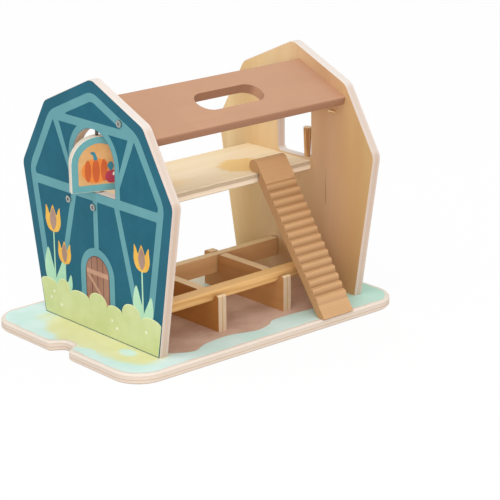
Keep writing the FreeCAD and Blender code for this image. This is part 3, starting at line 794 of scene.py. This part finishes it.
def hedge(tag, place):
    """Row of round bushes along the foot, with a pale upper edge."""
    for drop, lift, kind in ((0.0, RIM_LIFT, "hedge_rim"), (HEDGE_RIM, BUSH_LIFT, "hedge")):
        line = [(HEDGE_MARGIN - FOOT_FRONT, HEDGE_FOOT), (FOOT_BACK - HEDGE_MARGIN, HEDGE_FOOT)]
        for (u0, v0), (u1, v1), head in zip(HEDGE_BREAKS, HEDGE_BREAKS[1:], HEDGE_TOPS):
            for k in range(BUSH_STEPS):
                t = k / BUSH_STEPS
                level = v0 + (v1 - v0) * t
                line.append(((u0 + u1) / 2 + (u0 - u1) / 2 * math.cos(math.pi * t),
                             level + (head - level) * math.sin(math.pi * t) ** BUSH_POWER - drop))
        last_u, last_v = HEDGE_BREAKS[-1]
        line.append((last_u, last_v - drop))
        trimmed = []
        for u, v in line:
            front, back = HEDGE_MARGIN - edge_at(FOOT_FRONT, v), edge_at(FOOT_BACK, v) - HEDGE_MARGIN
            trimmed.append((max(min(u, back), front), v))
        lay(f"{tag}_{kind}", [trimmed], place, lift, ink[kind])
    for i, (u, v) in enumerate(DAISIES):
        daisy = oval(u, v, DAISY_R, DAISY_R, count=14)
        lay(f"{tag}_daisy_{i}", [daisy], place, DAISY_LIFT, ink["cream"])


walls = (("left_wall", on_left, NEAR_WINDOW, 1), ("right_wall", on_right, FAR_WINDOW, -1))
for tag, place, window, flip in walls:
    timber_lines(tag, place, window)
    stable_door(tag, place)
    tulips(tag, place, [(flip * u, v, size) for u, v, size in FLOWERS])
    hedge(tag, place)

# Prints of the shutter: a pumpkin and an apple on a tan field

SHUTTER_RIM = 6.5
fruit_foot = SHUTTER_SILL + SHUTTER_RIM
pumpkin_u, pumpkin_v, rib_gap = 3.0, fruit_foot + 13, 7.5
STEM = [(1.4, 23), (4.6, 23), (5.4, 27), (8, 30), (4.4, 30.5), (2.4, 27)]
FRUIT_LEAF = [(-10.5, 12), (-7.5, 17), (-11, 20.5), (-13.5, 16)]
stem = flowing(moved(STEM, 0, fruit_foot), steps=4)
leaf = flowing(moved(FRUIT_LEAF, 0, fruit_foot), steps=5)
# Ink, shape and height above the wood
fruit = [
    ("orange", oval(pumpkin_u, pumpkin_v, 13.5, 11.5), 0.12),
    ("rust", oval(pumpkin_u - rib_gap, pumpkin_v, 3.0, 10.2), 0.16),
    ("rust", oval(pumpkin_u + rib_gap, pumpkin_v, 3.0, 10.2), 0.16),
    ("rust", oval(pumpkin_u, pumpkin_v, 3.4, 11), 0.18),
    ("red", oval(-11.5, fruit_foot + 6.5, 6.3, 6.0), 0.2),
    ("cream", oval(-13.5, fruit_foot + 9, 1.2, 1.8, turn=0.5), 0.24),
    ("sea", stem, 0.2),
    ("sea", leaf, 0.26),
]
for side, tag in ((-1, "shutter_front"), (1, "shutter_back")):
    place = on_shutter(side)
    field = arch_line(SHUTTER_HALF - SHUTTER_RIM, fruit_foot, SHUTTER_SPRING)
    lay(tag + "_field", [field], place, FIELD_LIFT, ink["tan"], "shutter")
    for i, (kind, shape, lift) in enumerate(fruit):
        lay(f"{tag}_{i}", [shape], place, lift, ink[kind], "shutter")


# Prints of the base plate and the loft

MEADOW_LIFT, YARD_LIFT = 0.08, 0.14
MEADOW_MARGIN = 2.6
# Size, pace and start of the two waves in a hand-cut stencil's edge
WAVER = [(0.5, 0.9, 0.0), (0.4, 0.37, 1.0)]
YARD = [(-116, -76), (-106, -89), (-91, -95), (-74, -88), (-45, -86), (-16, -94), (3, -90), (13, -84),
        (38, -84), (70, -87), (98, -84), (114, -68), (118, -20), (121, 30), (121, 62), (96, 68), (64, 44),
        (30, 32), (-30, 38), (-84, 33), (-114, 22), (-117, -30)]
HAY_END_MARGIN, HAY_SIDE_MARGIN, HAY_ROUND = 1.0, 3.0, 2.0
# Metres between points that count as one, and off a level that count as on it
SAME_POINT, SAME_LEVEL = 1e-6, 1e-5
FLAT_NORMAL = 0.99


def top_outline(node, level):
    """Outer edge of a node's flat top, as a closed line."""
    work = bmesh.new()
    work.from_mesh(nodes[node].data)
    bmesh.ops.remove_doubles(work, verts=work.verts, dist=SAME_POINT)
    flat = set()
    for face in work.faces:
        off = abs(face.calc_center_median().z - level * MM)
        if abs(face.normal.z) > FLAT_NORMAL and off < SAME_LEVEL:
            flat.add(face)
    ways = {}
    for edge in work.edges:
        if sum(face in flat for face in edge.link_faces) == 1:
            for here, there in (edge.verts, reversed(edge.verts)):
                ways.setdefault(here, []).append(there)
    start = min(ways, key=lambda v: v.co.x)
    line, last, here = [], None, start
    while here is not start or not line:
        line.append(Vector((here.co.x, here.co.y)) / MM)
        last, here = here, [v for v in ways[here] if v is not last][0]
    work.free()
    return line


def even(points, gap=4.0):
    """The same closed line with points about a gap apart."""
    lengths = [(points[(i + 1) % len(points)] - p).length for i, p in enumerate(points)]
    count = int(sum(lengths) / gap)
    step = sum(lengths) / count
    line, i, passed = [], 0, 0.0
    for k in range(count):
        while passed + lengths[i] < k * step:
            passed += lengths[i]
            i += 1
        line.append(points[i].lerp(points[(i + 1) % len(points)], (k * step - passed) / lengths[i]))
    return line


def shrunk(points, step):
    """Closed line moved inwards, with the slight waver of a hand-cut stencil."""
    area = sum(a.x * b.y - b.x * a.y for a, b in zip(points, points[1:] + points[:1]))
    inwards = math.copysign(1, area)
    line = []
    for i, point in enumerate(points):
        along = (points[(i + 1) % len(points)] - points[i - 1]).normalized()
        waver = sum(size * math.sin(i * pace + start) for size, pace, start in WAVER)
        line.append(tuple(point + Vector((-along.y, along.x)) * inwards * (step + waver)))
    return line


meadow = shrunk(even(top_outline("base_plate", FLOOR_Z)), MEADOW_MARGIN)
lay("base_meadow", [meadow], on_base, MEADOW_LIFT, meadow_ink())
lay("base_yard", [flowing(YARD)], on_base, YARD_LIFT, ink["yard"])
hay_end = INNER_X - HAY_END_MARGIN
hay_front, hay_back = loft_low.y + HAY_SIDE_MARGIN, loft_high.y - HAY_SIDE_MARGIN
hay_field = [(-hay_end, hay_front), (hay_end, hay_front), (hay_end, hay_back), (-hay_end, hay_back)]
lay("loft_hay", [rounded(hay_field, HAY_ROUND)], on_loft, FIELD_LIFT, hay_ink())


# Floor, light and camera: places in metres, the lens in millimetres

FLOOR_REACH, FLOOR_WHITE, FLOOR_GLOW = 8.0, 0.9, 0.93
SKY, BACKDROP = 0.86, 1.0
LIGHT_AIM = Vector((0, 0, 0.1))
CAMERA_AT = Vector((-1.06495, -1.2633, 0.5995))
AZIMUTH, ELEVATION, ROLL = math.radians(-41.68), math.radians(18.04), math.radians(-0.536)
FOCAL_LENGTH, SENSOR_WIDTH, NEAREST_VIEW = 130.14, 36.0, 0.05


def seen_share(tree):
    """1 on rays that are looked along, 0 on rays that only light the object."""
    path = tree.nodes.new("ShaderNodeLightPath")
    share = path.outputs["Is Camera Ray"]
    for ray in ("Is Glossy Ray", "Is Transmission Ray"):
        either = tree.nodes.new("ShaderNodeMath")
        either.operation = "MAXIMUM"
        tree.links.new(share, either.inputs[0])
        tree.links.new(path.outputs[ray], either.inputs[1])
        share = either.outputs[0]
    return share


def studio_floor():
    """Pale floor that is nearly white to the eye and keeps the object's shadow."""
    corners = [(u * FLOOR_REACH, v * FLOOR_REACH, 0) for u, v in ((-1, -1), (1, -1), (1, 1), (-1, 1))]
    floor_mesh = bpy.data.meshes.new("floor")
    floor_mesh.from_pydata(corners, [], [(0, 1, 2, 3)])
    floor = bpy.data.objects.new("floor", floor_mesh)
    scene.collection.objects.link(floor)
    f = Finish("floor_white", 0.9, specular=0.1)
    f.shader.inputs["Base Color"].default_value = (FLOOR_WHITE, FLOOR_WHITE, FLOOR_WHITE, 1)
    glow = f.node("ShaderNodeEmission")
    blend = f.node("ShaderNodeMixShader")
    f.feed(blend.inputs[0], f.math("MULTIPLY", seen_share(f.tree), FLOOR_GLOW))
    f.feed(blend.inputs[1], f.shader.outputs[0])
    f.feed(blend.inputs[2], glow.outputs[0])
    f.feed(f.tree.nodes["Material Output"].inputs["Surface"], blend.outputs[0])
    floor_mesh.materials.append(f.material)


def studio_world():
    """White backdrop, with a sky that lights the object less strongly."""
    world = bpy.data.worlds.new("studio")
    world.use_nodes = True
    scene.world = world
    tree = world.node_tree
    sky = tree.nodes["Background"]
    white = tree.nodes.new("ShaderNodeBackground")
    for light, strength in ((sky, SKY), (white, BACKDROP)):
        light.inputs["Color"].default_value = (1, 1, 1, 1)
        light.inputs["Strength"].default_value = strength
    pick = tree.nodes.new("ShaderNodeMixShader")
    tree.links.new(seen_share(tree), pick.inputs[0])
    tree.links.new(sky.outputs[0], pick.inputs[1])
    tree.links.new(white.outputs[0], pick.inputs[2])
    tree.links.new(pick.outputs[0], tree.nodes["World Output"].inputs["Surface"])


def softbox(name, spot, size, power):
    """Round lamp that faces the object."""
    data = bpy.data.lights.new(name, "AREA")
    data.shape = "DISK"
    data.size = size
    data.energy = power
    lamp = bpy.data.objects.new(name, data)
    lamp.location = spot
    lamp.rotation_euler = (LIGHT_AIM - Vector(spot)).to_track_quat("-Z", "Y").to_euler()
    scene.collection.objects.link(lamp)


def photo_camera():
    """Camera of the photograph, from its place, its direction and its slight roll."""
    level = math.cos(ELEVATION)
    back = Vector((math.sin(AZIMUTH) * level, -math.cos(AZIMUTH) * level, math.sin(ELEVATION)))
    across = Vector((math.cos(AZIMUTH), math.sin(AZIMUTH), 0))
    upright = back.cross(across)
    right = across * math.cos(ROLL) + upright * math.sin(ROLL)
    up = upright * math.cos(ROLL) - across * math.sin(ROLL)
    lens = bpy.data.cameras.new("camera")
    lens.sensor_fit = "HORIZONTAL"
    lens.sensor_width = SENSOR_WIDTH
    lens.lens = FOCAL_LENGTH
    lens.clip_start = NEAREST_VIEW
    camera = bpy.data.objects.new("camera", lens)
    camera.matrix_world = Matrix.Translation(CAMERA_AT) @ Matrix((right, up, back)).transposed().to_4x4()
    scene.collection.objects.link(camera)
    scene.camera = camera


studio_floor()
studio_world()
softbox("key", spot=(-0.9, -0.2, 2.2), size=1.4, power=13)
softbox("front", spot=(-1.1, -1.75, 0.6), size=1.2, power=12)
photo_camera()
scene.view_settings.view_transform = "Standard"
